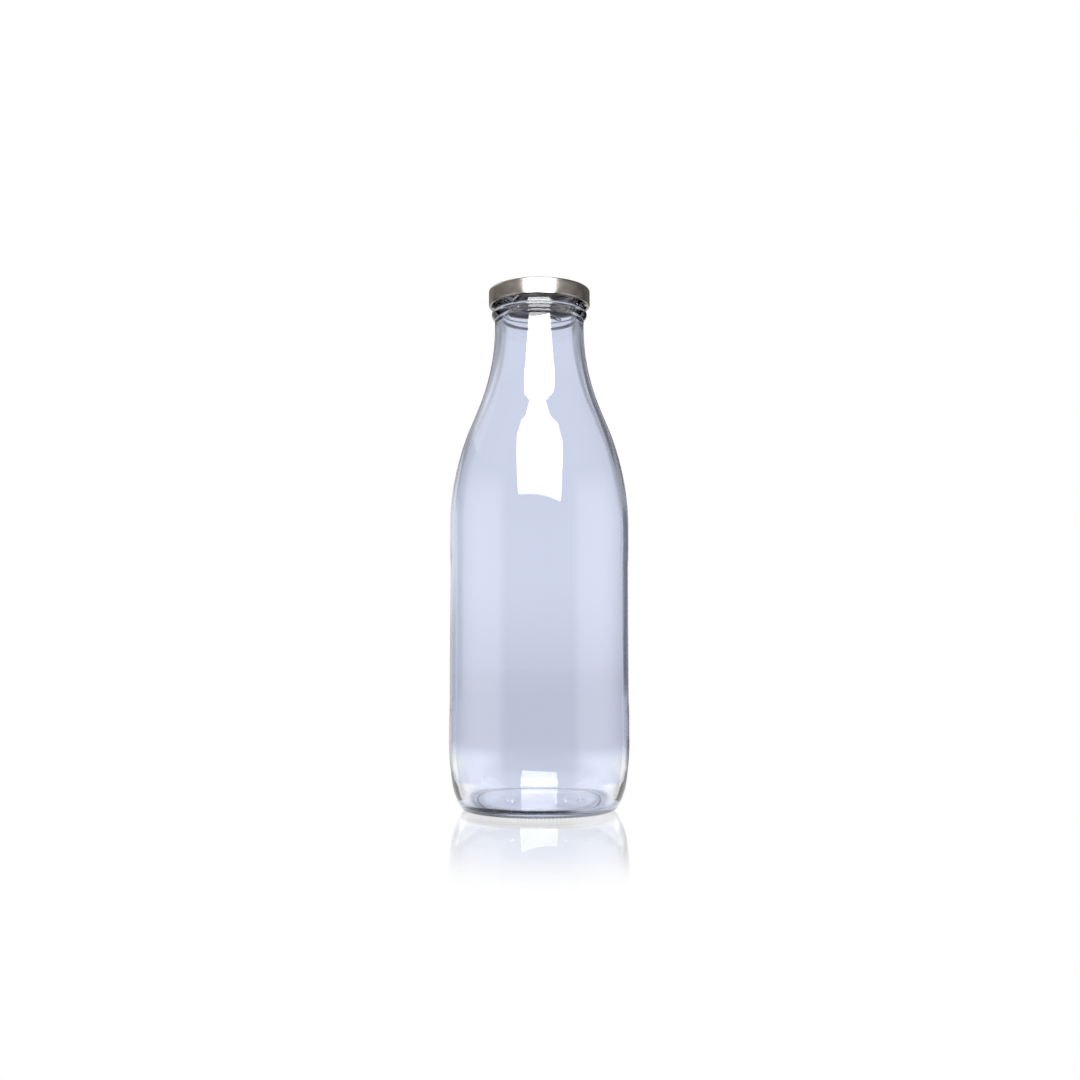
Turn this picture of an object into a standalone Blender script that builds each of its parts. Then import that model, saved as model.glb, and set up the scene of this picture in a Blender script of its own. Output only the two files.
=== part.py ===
"""One-litre glass milk bottle with a twist-off lug lid.

Three separate pieces are modelled, in metres, with +Z up and the origin at the
centre of the base: the glass bottle, the tinplate lid, and the sealing ring
that sits in the lid's channel. Every piece is turned about the Z axis. The
bottle carries four thread leads and the lid four lugs that slide under them.
"""

import math

import bmesh
import bpy
from mathutils import Matrix

COLLECTION_NAME = "milk_bottle"
CUTTER_COLLECTION_NAME = "milk_bottle_cutters"

# Turned surfaces. A multiple of four puts vertices on the X and Y axes.
TURN_STEPS = 48
HEEL_ARC_STEPS = 4
CURL_STEPS = 8
MERGE_DISTANCE = 0.00001

# Bottle, outside.
BODY_RADIUS = 0.0444
SHOULDER_RADIUS = 0.0445
LABEL_RADIUS = 0.0442
LABEL_BOTTOM_Z = 0.052
LABEL_TOP_Z = 0.118
SHOULDER_BOTTOM_Z = 0.128
SHOULDER_CURVE_Z = 0.1385
SHOULDER_CURVE_RADIUS = 0.130
SHOULDER_ANGLE = math.radians(22.6)
SHOULDER_CONE_LENGTH = 0.0089
NECK_RADIUS = 0.0224

# Bottle, heel and base. Each heel arc is (radius, angle from the vertical at
# which the arc ends), from the body down to the bearing ring.
HEEL_ARCS = (
    (0.1186, math.radians(10.4)),
    (0.0284, math.radians(33.3)),
    (0.00405, math.radians(90.0)),
)
HEEL_CONTACT_TOP_Z = 0.045
BEARING_INNER_RADIUS = 0.0315
PUNT_FOOT_RADIUS = 0.0010
PUNT_TOP_RADIUS = 0.0006
PUNT_WALL_HEIGHT = 0.0016
PUNT_HEIGHT = 0.0034

# Bottle, inside.
INNER_BODY_RADIUS = 0.0418
INNER_HEEL_ARCS = (
    (0.116, math.radians(10.4)),
    (0.029, math.radians(33.3)),
    (0.0045, math.radians(90.0)),
)
INNER_FLOOR_EDGE_Z = 0.0032
INNER_FLOOR_CENTRE_Z = 0.0056
INNER_SHOULDER_Z = 0.1375
INNER_SHOULDER_RADIUS = 0.128
INNER_CONE_LENGTH = 0.0115
BORE_RADIUS = 0.0189

# Bottle, mouth finish.
RIM_TOP_Z = 0.2572
FINISH_RADIUS = 0.0223
RIM_OUTER_ROUND = 0.0018
BEAD_RADIUS = 0.0240
BEAD_TOP_Z = 0.2473
BEAD_WAIST_Z = 0.2458
BEAD_FOOT_Z = 0.2424
BEAD_ROUND = 0.0011
BEAD_FOOT_STEPS = 5

# Thread leads and lugs. The lid rises by one lead per turn.
LEAD_COUNT = 4
LEAD_PER_TURN = 0.0127
LEAD_PATH_RADIUS = 0.0225
LEAD_RADIUS = 0.0011
FIRST_LEAD_ANGLE = math.radians(-109.0)
LEAD_ARC = math.radians(68.0)
LEAD_STOP_ARC = math.radians(13.0)
LEAD_STOP_BOTTOM_Z = 0.2484
LEAD_START_Z = 0.25191
LEAD_END_DEPTH = 0.0006
LEAD_END_SCALE = 0.4
LEAD_STOP_STEPS = 3
LEAD_STEPS = 12
LUG_ANGLE_AFTER_START = math.radians(11.0)
LUG_Z = 0.25075
LUG_INNER_RADIUS = 0.02275
LUG_SIZE = (0.0014, 0.0055, 0.0006)

# Lid.
LID_TOP_Z = 0.2588
LID_RADIUS = 0.0255
LID_THICKNESS = 0.0002
LID_CORNER_RADIUS = 0.0012
PANEL_RADIUS = 0.0173
PANEL_DEPTH = 0.0007
PANEL_STEP_WIDTH = 0.0009
CURL_RADIUS = 0.0008
CURL_CENTRE_Z = 0.2510
CURL_END_DEG = -235.0

# Sealing ring in the lid's channel.
FIT_GAP = 0.0003
GASKET_INNER_RADIUS = 0.0188
GASKET_OUTER_RADIUS = 0.0246
GASKET_ROUND = 0.0003


def clear_scene():
    """Remove every object of the scene that the script starts in."""
    for obj in list(bpy.data.objects):
        bpy.data.objects.remove(obj, do_unlink=True)


def new_collection(name):
    """Make a collection and link it under the scene."""
    collection = bpy.data.collections.new(name)
    bpy.context.scene.collection.children.link(collection)
    return collection


def new_material(name, colour, roughness, metallic=0.0, transmission=0.0):
    """A Principled material with the piece's colour and finish."""
    material = bpy.data.materials.new(name)
    material.use_nodes = True
    shader = material.node_tree.nodes["Principled BSDF"]
    shader.inputs["Base Color"].default_value = (*colour, 1.0)
    shader.inputs["Roughness"].default_value = roughness
    shader.inputs["Metallic"].default_value = metallic
    shader.inputs["Transmission Weight"].default_value = transmission
    shader.inputs["IOR"].default_value = 1.52
    material.diffuse_color = (*colour, 1.0)
    return material


def arc(centre_r, centre_z, radius, start_deg, end_deg, steps):
    """Points (r, z) on an arc. Angle 0 points outwards and 90 points up."""
    points = []
    for index in range(steps + 1):
        angle = math.radians(start_deg + (end_deg - start_deg) * index / steps)
        points.append((centre_r + radius * math.cos(angle), centre_z + radius * math.sin(angle)))
    return points


def dome(edge_r, edge_z, centre_z, steps):
    """Points (r, z) of a shallow dome, from its edge to the axis."""
    rise = centre_z - edge_z
    radius = (edge_r ** 2 + rise ** 2) / (2.0 * rise)
    points = []
    for index in range(steps + 1):
        r = edge_r * (1.0 - index / steps)
        points.append((r, centre_z - radius + math.sqrt(radius ** 2 - r ** 2)))
    return points


def shoulder(body_r, start_z, curve_radius, cone_length, neck_r, steps):
    """Points up a shoulder: a convex arc, a short cone and a concave arc into the neck."""
    angle = SHOULDER_ANGLE
    points = []
    for index in range(steps + 1):
        turn = angle * index / steps
        r = body_r - curve_radius * (1.0 - math.cos(turn))
        points.append((r, start_z + curve_radius * math.sin(turn)))
    cone_r = points[-1][0] - cone_length * math.sin(angle)
    cone_z = points[-1][1] + cone_length * math.cos(angle)
    neck_curve = (cone_r - neck_r) / (1.0 - math.cos(angle))
    neck_z = cone_z + neck_curve * math.sin(angle)
    for index in range(steps + 1):
        turn = angle * (1.0 - index / steps)
        r = neck_r + neck_curve * (1.0 - math.cos(turn))
        points.append((r, neck_z - neck_curve * math.sin(turn)))
    return points


def heel(top_r, foot_z, arcs):
    """Points down a heel: tangent arcs from an upright wall to level at the foot."""
    height = 0.0
    start = 0.0
    for radius, end in arcs:
        height += radius * (math.sin(end) - math.sin(start))
        start = end
    r = top_r
    z = foot_z + height
    points = [(r, z)]
    start = 0.0
    for radius, end in arcs:
        for index in range(1, HEEL_ARC_STEPS + 1):
            turn = start + (end - start) * index / HEEL_ARC_STEPS
            point_r = r - radius * (math.cos(start) - math.cos(turn))
            point_z = z - radius * (math.sin(turn) - math.sin(start))
            points.append((point_r, point_z))
        r, z = points[-1]
        start = end
    points[-1] = (r, foot_z)
    return points


def bead_underside():
    """Points down the bead's lower side, which runs smoothly into the neck."""
    points = []
    for index in range(BEAD_FOOT_STEPS + 1):
        share = index / BEAD_FOOT_STEPS
        eased = share * share * (3.0 - 2.0 * share)
        r = BEAD_RADIUS + (NECK_RADIUS - BEAD_RADIUS) * eased
        points.append((r, BEAD_WAIST_Z + (BEAD_FOOT_Z - BEAD_WAIST_Z) * share))
    return points


def bottle_profile():
    """The bottle's outline, from the inner floor over the rim and down the outside."""
    inner_heel = heel(INNER_BODY_RADIUS, INNER_FLOOR_EDGE_Z, INNER_HEEL_ARCS)[::-1]
    profile = dome(inner_heel[0][0], INNER_FLOOR_EDGE_Z, INNER_FLOOR_CENTRE_Z, 3)[::-1]
    profile += inner_heel[1:]
    profile += shoulder(INNER_BODY_RADIUS, INNER_SHOULDER_Z, INNER_SHOULDER_RADIUS,
                        INNER_CONE_LENGTH, BORE_RADIUS, 4)
    rim_centre_r = FINISH_RADIUS - RIM_OUTER_ROUND
    rim_inner_round = rim_centre_r - BORE_RADIUS
    profile += arc(rim_centre_r, RIM_TOP_Z - rim_inner_round, rim_inner_round, 180.0, 90.0, 3)
    profile += arc(rim_centre_r, RIM_TOP_Z - RIM_OUTER_ROUND, RIM_OUTER_ROUND, 90.0, 0.0, 3)[1:]
    bead_centre_r = BEAD_RADIUS - BEAD_ROUND
    profile.append((FINISH_RADIUS, BEAD_TOP_Z))
    profile += arc(bead_centre_r, BEAD_TOP_Z - BEAD_ROUND, BEAD_ROUND, 90.0, 0.0, 3)
    profile += bead_underside()
    profile += shoulder(SHOULDER_RADIUS, SHOULDER_CURVE_Z, SHOULDER_CURVE_RADIUS,
                        SHOULDER_CONE_LENGTH, NECK_RADIUS, 6)[::-1]
    profile.append((SHOULDER_RADIUS, SHOULDER_BOTTOM_Z))
    profile.append((LABEL_RADIUS, LABEL_TOP_Z))
    profile.append((LABEL_RADIUS, LABEL_BOTTOM_Z))
    profile.append((BODY_RADIUS, HEEL_CONTACT_TOP_Z))
    profile += heel(BODY_RADIUS, 0.0, HEEL_ARCS)
    punt_r = BEARING_INNER_RADIUS - PUNT_FOOT_RADIUS - PUNT_TOP_RADIUS
    profile += arc(BEARING_INNER_RADIUS, PUNT_FOOT_RADIUS, PUNT_FOOT_RADIUS, -90.0, -180.0, 2)
    profile += arc(punt_r, PUNT_WALL_HEIGHT - PUNT_TOP_RADIUS, PUNT_TOP_RADIUS, 0.0, 90.0, 2)
    profile += dome(punt_r, PUNT_WALL_HEIGHT, PUNT_HEIGHT, 3)[1:]
    return profile


def lid_profile():
    """The lid's sheet outline: over the panel and skirt, around the curl and back inside."""
    corner_r = LID_RADIUS - LID_CORNER_RADIUS
    corner_z = LID_TOP_Z - LID_CORNER_RADIUS
    curl_r = LID_RADIUS - CURL_RADIUS
    panel_z = LID_TOP_Z - PANEL_DEPTH
    step_r = PANEL_RADIUS + PANEL_STEP_WIDTH
    inner_corner = LID_CORNER_RADIUS - LID_THICKNESS
    profile = [(0.0, panel_z), (PANEL_RADIUS, panel_z), (step_r, LID_TOP_Z)]
    profile += arc(corner_r, corner_z, LID_CORNER_RADIUS, 90.0, 0.0, 4)
    profile += arc(curl_r, CURL_CENTRE_Z, CURL_RADIUS, 0.0, CURL_END_DEG, CURL_STEPS)
    profile += arc(curl_r, CURL_CENTRE_Z, CURL_RADIUS - LID_THICKNESS, CURL_END_DEG, 0.0, CURL_STEPS)
    profile += arc(corner_r, corner_z, inner_corner, 0.0, 90.0, 4)
    profile.append((step_r, LID_TOP_Z - LID_THICKNESS))
    profile.append((PANEL_RADIUS, panel_z - LID_THICKNESS))
    profile.append((0.0, panel_z - LID_THICKNESS))
    return profile


def gasket_profile():
    """The sealing ring's closed outline, starting down its outer side."""
    top_z = LID_TOP_Z - LID_THICKNESS - FIT_GAP
    bottom_z = RIM_TOP_Z + FIT_GAP
    return [
        (GASKET_OUTER_RADIUS - GASKET_ROUND, top_z),
        (GASKET_OUTER_RADIUS, top_z - GASKET_ROUND),
        (GASKET_OUTER_RADIUS, bottom_z + GASKET_ROUND),
        (GASKET_OUTER_RADIUS - GASKET_ROUND, bottom_z),
        (GASKET_INNER_RADIUS + GASKET_ROUND, bottom_z),
        (GASKET_INNER_RADIUS, bottom_z + GASKET_ROUND),
        (GASKET_INNER_RADIUS, top_z),
    ]


def turned(name, profile, closed, material, collection):
    """Turn an (r, z) outline about the Z axis with a Screw modifier."""
    count = len(profile)
    edges = [(index, index + 1) for index in range(count - 1)]
    if closed:
        edges.append((count - 1, 0))
    mesh = bpy.data.meshes.new(name)
    mesh.from_pydata([(r, 0.0, z) for r, z in profile], edges, [])
    mesh.materials.append(material)
    obj = bpy.data.objects.new(name, mesh)
    collection.objects.link(obj)
    screw = obj.modifiers.new("Turn", "SCREW")
    screw.axis = "Z"
    screw.angle = math.tau
    screw.steps = TURN_STEPS
    screw.render_steps = TURN_STEPS
    screw.use_merge_vertices = True
    screw.merge_threshold = MERGE_DISTANCE
    screw.use_smooth_shade = True
    return obj


def lead_path(start_angle):
    """Points along one thread lead: a steep stop up from the bead, then the helix."""
    points = []
    for index in range(LEAD_STOP_STEPS):
        share = index / LEAD_STOP_STEPS
        angle = start_angle - LEAD_STOP_ARC * (1.0 - share)
        z = LEAD_STOP_BOTTOM_Z + (LEAD_START_Z - LEAD_STOP_BOTTOM_Z) * share
        points.append((angle, z))
    for index in range(LEAD_STEPS + 1):
        turn = LEAD_ARC * index / LEAD_STEPS
        points.append((start_angle + turn, LEAD_START_Z + LEAD_PER_TURN * turn / math.tau))
    return points


def thread_lead(name, start_angle, collection):
    """One thread lead as a closed mesh: a bevelled curve whose ends sink into the wall."""
    curve = bpy.data.curves.new(name, "CURVE")
    curve.dimensions = "3D"
    curve.bevel_depth = LEAD_RADIUS
    curve.bevel_resolution = 2
    curve.use_fill_caps = True
    path = lead_path(start_angle)
    spline = curve.splines.new("POLY")
    spline.points.add(len(path) - 1)
    last = len(path) - 1
    for index, (angle, z) in enumerate(path):
        radius = LEAD_PATH_RADIUS
        if index in (0, last):
            radius -= LEAD_END_DEPTH
            spline.points[index].radius = LEAD_END_SCALE
        spline.points[index].co = (radius * math.cos(angle), radius * math.sin(angle), z, 1.0)
    curve_object = bpy.data.objects.new(name, curve)
    collection.objects.link(curve_object)
    bpy.context.view_layer.update()
    evaluated = curve_object.evaluated_get(bpy.context.evaluated_depsgraph_get())
    mesh = bpy.data.meshes.new_from_object(evaluated)
    bpy.data.objects.remove(curve_object, do_unlink=True)
    weld(mesh)
    return cutter_object(name, mesh, collection)


def weld(mesh):
    """Join a curve mesh's loose caps to its sides."""
    work = bmesh.new()
    work.from_mesh(mesh)
    bmesh.ops.remove_doubles(work, verts=work.verts, dist=MERGE_DISTANCE)
    bmesh.ops.recalc_face_normals(work, faces=work.faces)
    work.to_mesh(mesh)
    work.free()


def cutter_object(name, mesh, collection):
    """An object that only a Boolean modifier reads."""
    obj = bpy.data.objects.new(name, mesh)
    obj.hide_render = True
    obj.display_type = "WIRE"
    collection.objects.link(obj)
    return obj


def lug(name, angle, collection):
    """One lug of the lid: a small tab tilted along the thread's helix."""
    bpy.ops.mesh.primitive_cube_add(size=1.0)
    obj = bpy.context.active_object
    obj.name = name
    obj.hide_render = True
    obj.display_type = "WIRE"
    for linked in list(obj.users_collection):
        linked.objects.unlink(obj)
    collection.objects.link(obj)
    centre_r = LUG_INNER_RADIUS + LUG_SIZE[0] / 2.0
    helix_angle = math.atan(LEAD_PER_TURN / (math.tau * LUG_INNER_RADIUS))
    size = Matrix.Diagonal((*LUG_SIZE, 1.0))
    tilt = Matrix.Rotation(helix_angle, 4, "X")
    place = Matrix.Translation((centre_r, 0.0, LUG_Z))
    turn = Matrix.Rotation(angle, 4, "Z")
    obj.data.transform(turn @ place @ tilt @ size)
    return obj


def join(obj, extra):
    """Unite another closed shape with an object."""
    boolean = obj.modifiers.new("Join " + extra.name, "BOOLEAN")
    boolean.operation = "UNION"
    boolean.solver = "EXACT"
    boolean.object = extra


def lead_angles():
    """The start angle of each thread lead, evenly spaced."""
    return [FIRST_LEAD_ANGLE + math.tau * index / LEAD_COUNT for index in range(LEAD_COUNT)]


def make_bottle(collection, cutters):
    """The glass bottle, with its four thread leads."""
    glass = new_material("clear_glass", (0.88, 0.91, 0.98), 0.02, transmission=1.0)
    bottle = turned("bottle", bottle_profile(), False, glass, collection)
    for index, angle in enumerate(lead_angles()):
        join(bottle, thread_lead("thread_lead_%d" % (index + 1), angle, cutters))
    return bottle


def make_lid(collection, cutters):
    """The tinplate lid, with its rolled curl and four lugs."""
    tinplate = new_material("tinplate", (0.78, 0.77, 0.76), 0.22, metallic=1.0)
    lid = turned("lid", lid_profile(), False, tinplate, collection)
    for index, angle in enumerate(lead_angles()):
        join(lid, lug("lug_%d" % (index + 1), angle + LUG_ANGLE_AFTER_START, cutters))
    return lid


def make_gasket(collection):
    """The soft sealing ring, clear of the lid above and the rim below."""
    plastisol = new_material("plastisol", (0.80, 0.79, 0.76), 0.55)
    return turned("gasket", gasket_profile(), True, plastisol, collection)


def main():
    clear_scene()
    collection = new_collection(COLLECTION_NAME)
    cutters = new_collection(CUTTER_COLLECTION_NAME)
    make_bottle(collection, cutters)
    make_gasket(collection)
    make_lid(collection, cutters)


main()
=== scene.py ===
"""The looks of the one-litre glass milk bottle and its twist-off lug lid.

Three pieces stand for the three CAD nodes, each one a fine turned mesh with the
relief that a plain turned shape lacks: thread leads, mould seams, a dot code and
a knurled foot on the glass, rolled lugs on the lid, and a pressed groove in the
sealing ring. Round them stands a small photo studio: a softbox, two white side
cards, a dome that is seen through the glass, a dome that is seen in reflections,
a floor that is seen through the glass and a white floor that the camera sees.
Sizes are in metres.
"""

import math

import bmesh
import bpy
import numpy as np
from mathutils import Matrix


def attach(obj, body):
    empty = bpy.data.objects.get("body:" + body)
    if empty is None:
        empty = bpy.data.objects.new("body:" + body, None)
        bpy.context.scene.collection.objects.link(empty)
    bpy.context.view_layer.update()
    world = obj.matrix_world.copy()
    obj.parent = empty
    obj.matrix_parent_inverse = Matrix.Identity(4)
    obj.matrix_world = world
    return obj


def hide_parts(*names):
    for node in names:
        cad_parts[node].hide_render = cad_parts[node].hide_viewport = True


# Steps round the axis of each turned piece, and the spacing of rows along parts of its outline.
BOTTLE_COLUMNS = 720
LID_COLUMNS = 480
GASKET_COLUMNS = 360
WALL_ROW = 0.004
FINISH_ROW = 0.00025
HEEL_ROW = 0.00035
PANEL_ROW = 0.0012
CHANNEL_ROW = 0.0008
SKIRT_ROW = 0.0005
GASKET_TOP_ROW = 0.0006
GASKET_FOOT_ROW = 0.00025
# Outline points closer than this are one point.
SAME_POINT = 0.00001

# Bottle, outside.
BODY_RADIUS = 0.0444
SHOULDER_RADIUS = 0.0445
LABEL_RADIUS = 0.0442
LABEL_BOTTOM_Z = 0.052
LABEL_TOP_Z = 0.118
SHOULDER_BOTTOM_Z = 0.128
SHOULDER_CURVE_Z = 0.1385
SHOULDER_CURVE_RADIUS = 0.130
SHOULDER_ANGLE = math.radians(22.6)
SHOULDER_CONE_LENGTH = 0.0089
NECK_RADIUS = 0.0224

# Bottle, heel and base. Each heel arc is (radius, angle from the vertical at
# which the arc ends), from the body down to the bearing ring.
HEEL_ARCS = (
    (0.1186, math.radians(10.4)),
    (0.0284, math.radians(33.3)),
    (0.00405, math.radians(90.0)),
)
HEEL_CONTACT_TOP_Z = 0.045
BEARING_INNER_RADIUS = 0.0315
PUNT_FOOT_RADIUS = 0.0010
PUNT_TOP_RADIUS = 0.0006
PUNT_WALL_HEIGHT = 0.0016
PUNT_HEIGHT = 0.0034

# Bottle, inside.
INNER_BODY_RADIUS = 0.0418
INNER_HEEL_ARCS = (
    (0.116, math.radians(10.4)),
    (0.029, math.radians(33.3)),
    (0.0045, math.radians(90.0)),
)
INNER_FLOOR_EDGE_Z = 0.0032
INNER_FLOOR_CENTRE_Z = 0.0056
INNER_SHOULDER_Z = 0.1375
INNER_SHOULDER_RADIUS = 0.128
INNER_CONE_LENGTH = 0.0115
BORE_RADIUS = 0.0189

# Bottle, mouth finish.
RIM_TOP_Z = 0.2572
FINISH_RADIUS = 0.0223
RIM_OUTER_ROUND = 0.0018
BEAD_RADIUS = 0.0240
BEAD_TOP_Z = 0.2473
BEAD_WAIST_Z = 0.2458
BEAD_FOOT_Z = 0.2424
BEAD_ROUND = 0.0011
BEAD_FILLET = 0.0006
FINISH_FOOT_FADE = 0.0008
FINISH_TOP_GAP = 0.0003

# Thread leads: a steep stop up from the bead, then a helix that rises by LEAD_PER_TURN in a turn.
LEAD_COUNT = 4
LEAD_PER_TURN = 0.0127
LEAD_HEIGHT = 0.0013
LEAD_HALF_WIDTH = 0.0015
FIRST_LEAD_ANGLE = math.radians(-109.0)
LEAD_ARC = math.radians(68.0)
LEAD_STOP_ARC = math.radians(13.0)
LEAD_STOP_BOTTOM_Z = 0.2484
LEAD_START_Z = 0.25191
LEAD_FADE_ARC = math.radians(14.0)

# Small relief on the glass.
SEAM_ANGLES = (0.0, math.pi)
SEAM_HEIGHT = 0.00007
SEAM_HALF_WIDTH = 0.0006
DOT_RADIUS = 0.0010
DOT_HEIGHT = 0.00050
DOT_Z = 0.0088
DOT_FIRST_ANGLE = math.radians(-110.0)
DOT_SPACING = math.radians(3.3)
DOT_CODE = "1101001011010011"
DOT_WALL_RADIUS = 0.040
DOT_WALL_FADE = 0.001
KNURL_COUNT = 120
KNURL_DEPTH = 0.00022
KNURL_TOP_Z = 0.0017
KNURL_START_RADIUS = 0.0316
KNURL_FULL_RADIUS = 0.0330
STIPPLE_ROUGHNESS = 0.30
WAVE_HEIGHT = 0.00006
INNER_WAVE_SHARE = 1.6
INNER_WAVE_START_RADIUS = 0.02
INNER_WAVE_FULL_RADIUS = 0.04
INNER_WAVE_TOP_FADE = 0.03
OUTER_WAVE_SHARE = 0.5
OUTER_WAVE_START_Z = 0.012
OUTER_WAVE_FULL_Z = 0.020
OUTER_WAVE_TOP_FADE = 0.002
# The crossing waves: turns round the bottle, turning per metre of height, and phase.
WAVES = ((2, 31.0, 0.4), (3, -47.0, 1.9), (5, 64.0, 3.1), (1, 83.0, 5.2))

# Lid.
LID_TOP_Z = 0.2588
LID_RADIUS = 0.0255
LID_THICKNESS = 0.0002
LID_CORNER_RADIUS = 0.0012
PANEL_RADIUS = 0.0173
PANEL_DEPTH = 0.0007
PANEL_STEP_WIDTH = 0.0009
CURL_RADIUS = 0.0008
CURL_CENTRE_Z = 0.2510
CURL_END_DEG = -235.0
LUG_ANGLE_AFTER_START = math.radians(11.0)
LUG_HALF_ARC = math.radians(7.0)
LUG_FULL_SHARE = 0.55
LUG_REACH = 0.0011
LUG_Z = 0.25075
LUG_FLATTEN = 0.45

# Sealing ring in the lid's channel.
FIT_GAP = 0.0003
GASKET_INNER_RADIUS = 0.0188
GASKET_OUTER_RADIUS = 0.0246
GASKET_ROUND = 0.0003
GROOVE_RADIUS = 0.0205
GROOVE_HALF_WIDTH = 0.0016
GROOVE_DEPTH = 0.00018
MOTTLE_DEPTH = 0.00003
MOTTLE_TURNS = 9.0
MOTTLE_TWIST = 40.0

# Camera. It stands in front of the bottle, below its middle, and looks slightly up.
CAMERA_DISTANCE = 0.6259
CAMERA_HEIGHT = 0.0774
CAMERA_PITCH = math.radians(5.0)
CAMERA_LENS = 42.07
CAMERA_SENSOR = 36.0
CAMERA_SHIFT_X = 0.00065

# Studio. The domes' and the floor's colours are brightness values of red, green and blue.
LAVENDER = np.array((0.655, 0.705, 0.86))
SLATE = np.array((0.37, 0.395, 0.46))
TAUPE = np.array((0.20, 0.175, 0.16))
WHITE = np.array((1.0, 1.0, 1.0))
DARK = np.array((0.04, 0.04, 0.045))
DOME_RADIUS = 5.0
OUTER_DOME_RADIUS = 5.1
DOME_COLUMNS = 361
DOME_ROWS = 361
FLOOR_RADIUS = 4.5
FLOOR_DROP = 0.0002
WHITE_FLOOR_CORNERS = 96
# The floor in the glass has fine rings near the bottle and coarse ones beyond.
FINE_FLOOR_RADIUS = 0.30
FINE_FLOOR_RINGS = 101
COARSE_FLOOR_RADIUS = 0.32
COARSE_FLOOR_RINGS = 60
FLOOR_SPOKES = 145
# The floor goes on from the dome as it looks from this height.
FLOOR_EYE_Z = 0.077
# The floor's mirror fades with distance, sooner to the sides, and is weaker at the foot.
MIRROR_FADE_START = 0.12
MIRROR_FADE_END = 0.22
MIRROR_STRENGTH = 1.2
MIRROR_NARROWING = 2.6
MIRROR_FOOT_START = 0.056
MIRROR_FOOT_END = 0.074
MIRROR_FOOT_SHARE = 0.55
# The side cards' ends are angles from the front, in degrees.
CARD_DISTANCE = 0.42
CARD_BOTTOM_Z = -0.15
CARD_TOP_Z = 0.37
CARD_FADE = 0.14
CARD_COLUMNS = 61
CARD_ROWS = 15
CARD_FROM = 38.0
CARD_TO = 125.0
CARD_STRENGTH = 1.7
# The softbox leans over the bottle. Its lower edge drops to the right, and its
# upper corners are cut off beyond this share of its height and half width.
SOFTBOX_BOTTOM_Y = -0.90
SOFTBOX_BOTTOM_Z = 0.422
SOFTBOX_ROLL = 0.03
SOFTBOX_TOP_Y = -0.50
SOFTBOX_TOP_Z = 0.91
SOFTBOX_HALF_WIDTH = 0.46
SOFTBOX_CUT_SHARE = 0.8
SOFTBOX_STRENGTH = 14.0


# ---------------------------------------------------------------- outlines

def arc(centre_r, centre_z, radius, start_deg, end_deg, steps):
    """Points (r, z) on an arc. Angle 0 points outwards and 90 points up."""
    points = []
    for index in range(steps + 1):
        angle = math.radians(start_deg + (end_deg - start_deg) * index / steps)
        points.append((centre_r + radius * math.cos(angle), centre_z + radius * math.sin(angle)))
    return points


def line(start, end, spacing):
    """Points from start to end, both included, about a spacing apart."""
    length = math.hypot(end[0] - start[0], end[1] - start[1])
    steps = max(1, round(length / spacing))
    points = []
    for index in range(steps + 1):
        share = index / steps
        points.append((start[0] + (end[0] - start[0]) * share,
                       start[1] + (end[1] - start[1]) * share))
    return points


def dome(edge_r, edge_z, centre_z, steps):
    """Points (r, z) of a shallow dome, from its edge to the axis."""
    rise = centre_z - edge_z
    radius = (edge_r ** 2 + rise ** 2) / (2.0 * rise)
    points = []
    for index in range(steps + 1):
        r = edge_r * (1.0 - index / steps)
        points.append((r, centre_z - radius + math.sqrt(radius ** 2 - r ** 2)))
    return points


def shoulder(body_r, start_z, curve_radius, cone_length, neck_r, steps):
    """Points up a shoulder: a convex arc, a short cone and a concave arc into the neck."""
    angle = SHOULDER_ANGLE
    points = []
    for index in range(steps + 1):
        turn = angle * index / steps
        r = body_r - curve_radius * (1.0 - math.cos(turn))
        points.append((r, start_z + curve_radius * math.sin(turn)))
    cone_r = points[-1][0] - cone_length * math.sin(angle)
    cone_z = points[-1][1] + cone_length * math.cos(angle)
    neck_curve = (cone_r - neck_r) / (1.0 - math.cos(angle))
    neck_z = cone_z + neck_curve * math.sin(angle)
    for index in range(steps + 1):
        turn = angle * (1.0 - index / steps)
        r = neck_r + neck_curve * (1.0 - math.cos(turn))
        points.append((r, neck_z - neck_curve * math.sin(turn)))
    return points


def heel(top_r, foot_z, arcs):
    """Points down a heel: tangent arcs from an upright wall to level at the foot."""
    height = 0.0
    start = 0.0
    for radius, end in arcs:
        height += radius * (math.sin(end) - math.sin(start))
        start = end
    r = top_r
    z = foot_z + height
    points = [(r, z)]
    start = 0.0
    for radius, end in arcs:
        steps = max(10, round(radius * (end - start) / HEEL_ROW))
        for index in range(1, steps + 1):
            turn = start + (end - start) * index / steps
            point_r = r - radius * (math.cos(start) - math.cos(turn))
            point_z = z - radius * (math.sin(turn) - math.sin(start))
            points.append((point_r, point_z))
        r, z = points[-1]
        start = end
    points[-1] = (r, foot_z)
    return points


def join_up(*stretches):
    """One outline from several, leaving out points that repeat the one before."""
    outline = []
    for stretch in stretches:
        for point in stretch:
            if not outline or math.dist(point, outline[-1]) > SAME_POINT:
                outline.append(point)
    return outline


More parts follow.
